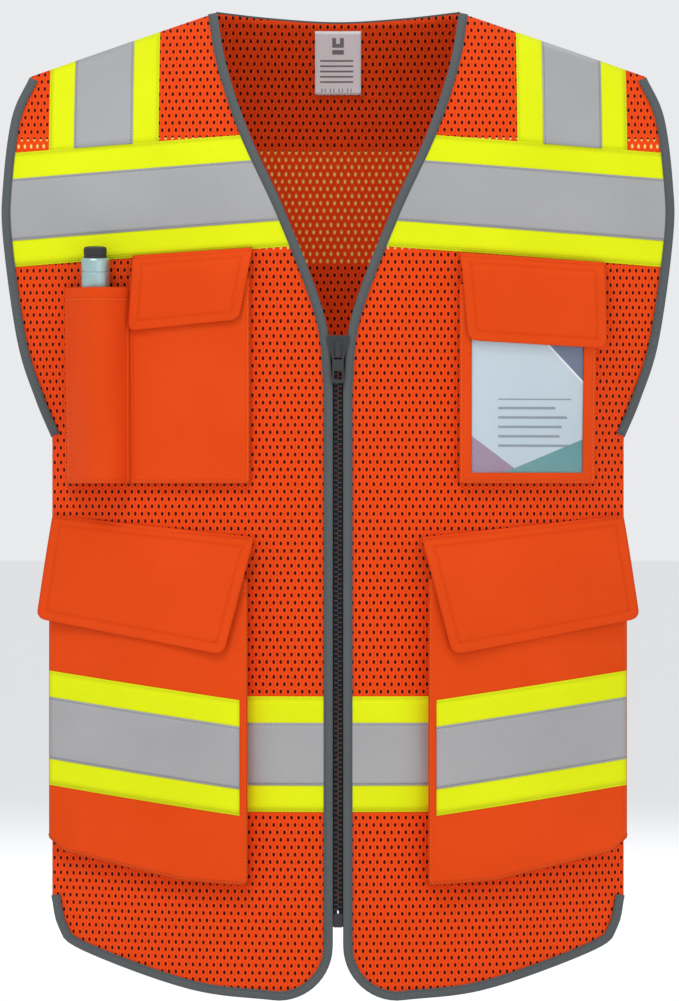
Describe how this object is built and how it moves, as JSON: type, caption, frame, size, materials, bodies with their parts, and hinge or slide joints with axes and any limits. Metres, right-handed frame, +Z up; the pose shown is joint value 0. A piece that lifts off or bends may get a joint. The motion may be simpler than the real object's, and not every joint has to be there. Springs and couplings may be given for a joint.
{
  "type": "high visibility vest",
  "caption": "Sleeveless orange mesh safety vest with a V neck, front zip, two-tone reflective bands and flap pockets, held open as if worn.",
  "frame": {"origin": "the point it hangs from, midway between the neck ends of the shoulder seams", "axes": "+Z up, the front faces -Y, the wearer's right is -X"},
  "size_m": [0.5388, 0.2022, 0.793],
  "materials": {
    "orange_mesh": "knitted eyelet mesh",
    "orange_cloth": "plain tricot",
    "lime_tape": "fluorescent tape",
    "reflective_tape": "glass bead reflective",
    "edge_binding": "folded binding",
    "zip_tape": "woven",
    "zip_plastic": "moulded",
    "zip_metal": "black lacquer",
    "clear_vinyl": "clear soft sheet",
    "card": "printed card",
    "label_satin": "satin",
    "torch_metal": "anodised pale blue-green",
    "torch_plastic": "satin",
    "hook_and_loop": "hook and loop"
  },
  "bodies": {
    "back": {"back_chest_lime": "lime_tape", "back_chest_silver": "reflective_tape", "back_hem_binding": "edge_binding", "back_panel": "orange_mesh", "back_waist_lime": "lime_tape", "back_waist_silver": "reflective_tape", "care_label": "label_satin", "left_armhole_binding": "edge_binding", "left_shoulder_lime": "lime_tape", "left_shoulder_panel": "orange_mesh", "left_shoulder_silver": "reflective_tape", "neck_binding": "edge_binding", "right_armhole_binding": "edge_binding", "right_shoulder_lime": "lime_tape", "right_shoulder_panel": "orange_mesh", "right_shoulder_silver": "reflective_tape"},
    "right_front": {"right_cargo_front": "orange_cloth", "right_cargo_gusset": "orange_cloth", "right_chest_lime": "lime_tape", "right_chest_pocket": "orange_cloth", "right_chest_silver": "reflective_tape", "right_front_armhole_binding": "edge_binding", "right_front_binding": "edge_binding", "right_front_panel": "orange_mesh", "right_loop_patches": "hook_and_loop", "right_pen_pocket": "orange_cloth", "right_waist_lime": "lime_tape", "right_waist_silver": "reflective_tape", "right_zip_tape": "zip_tape", "right_zip_teeth": "zip_plastic", "zip_pin": "zip_plastic"},
    "left_front": {"badge_window": "clear_vinyl", "id_card": "card", "left_badge_pocket": "orange_cloth", "left_cargo_front": "orange_cloth", "left_cargo_gusset": "orange_cloth", "left_chest_lime": "lime_tape", "left_chest_silver": "reflective_tape", "left_front_armhole_binding": "edge_binding", "left_front_binding": "edge_binding", "left_front_panel": "orange_mesh", "left_loop_patches": "hook_and_loop", "left_waist_lime": "lime_tape", "left_waist_silver": "reflective_tape", "left_zip_tape": "zip_tape", "left_zip_teeth": "zip_plastic", "zip_box": "zip_plastic"},
    "zip_slider": {"zip_slider": "zip_metal"},
    "zip_pull": {"zip_pull": "zip_metal"},
    "right_chest_flap": {"right_chest_flap": "orange_cloth", "right_chest_hook": "hook_and_loop"},
    "left_badge_flap": {"left_badge_flap": "orange_cloth", "left_badge_hook": "hook_and_loop"},
    "right_cargo_flap": {"right_cargo_flap": "orange_cloth", "right_cargo_hook": "hook_and_loop"},
    "left_cargo_flap": {"left_cargo_flap": "orange_cloth", "left_cargo_hook": "hook_and_loop"},
    "torch": {"torch_body": "torch_metal", "torch_cap": "torch_plastic"}
  },
  "joints": [
    {"name": "right_front_swing", "type": "hinge", "parent": "back", "child": "right_front", "pos_m": [-0.2325, 0, -0.4], "axis": [0, 0, -1], "range_deg": [0, 35]},
    {"name": "left_front_swing", "type": "hinge", "parent": "back", "child": "left_front", "pos_m": [0.2325, 0, -0.4], "axis": [0, 0, 1], "range_deg": [0, 35]},
    {"name": "zip_run", "type": "slide", "parent": "left_front", "child": "zip_slider", "axis": [0, 0, -1], "range_m": [0, 0.441]},
    {"name": "zip_pull_turn", "type": "hinge", "parent": "zip_slider", "child": "zip_pull", "pos_m": [0, -0.1014, -0.2729], "axis": [-1, 0, 0], "range_deg": [0, 140]},
    {"name": "right_chest_flap_lift", "type": "hinge", "parent": "right_front", "child": "right_chest_flap", "pos_m": [-0.11615, -0.08959, -0.197], "axis": [-0.9832, 0.1718, -0.0616], "range_deg": [0, 150]},
    {"name": "left_badge_flap_lift", "type": "hinge", "parent": "left_front", "child": "left_badge_flap", "pos_m": [0.1556, -0.08155, -0.20156], "axis": [-0.9714, -0.2295, 0.0609], "range_deg": [0, 150]},
    {"name": "right_cargo_flap_lift", "type": "hinge", "parent": "right_front", "child": "right_cargo_flap", "pos_m": [-0.14885, -0.06527, -0.4159], "axis": [-0.8761, 0.473, 0.0933], "range_deg": [0, 120]},
    {"name": "left_cargo_flap_lift", "type": "hinge", "parent": "left_front", "child": "left_cargo_flap", "pos_m": [0.14885, -0.06527, -0.4159], "axis": [-0.8761, -0.473, -0.0933], "range_deg": [0, 120]},
    {"name": "torch_slide", "type": "slide", "parent": "right_front", "child": "torch", "axis": [0, -0.1108, 0.9938], "range_m": [0, 0.09]}
  ]
}
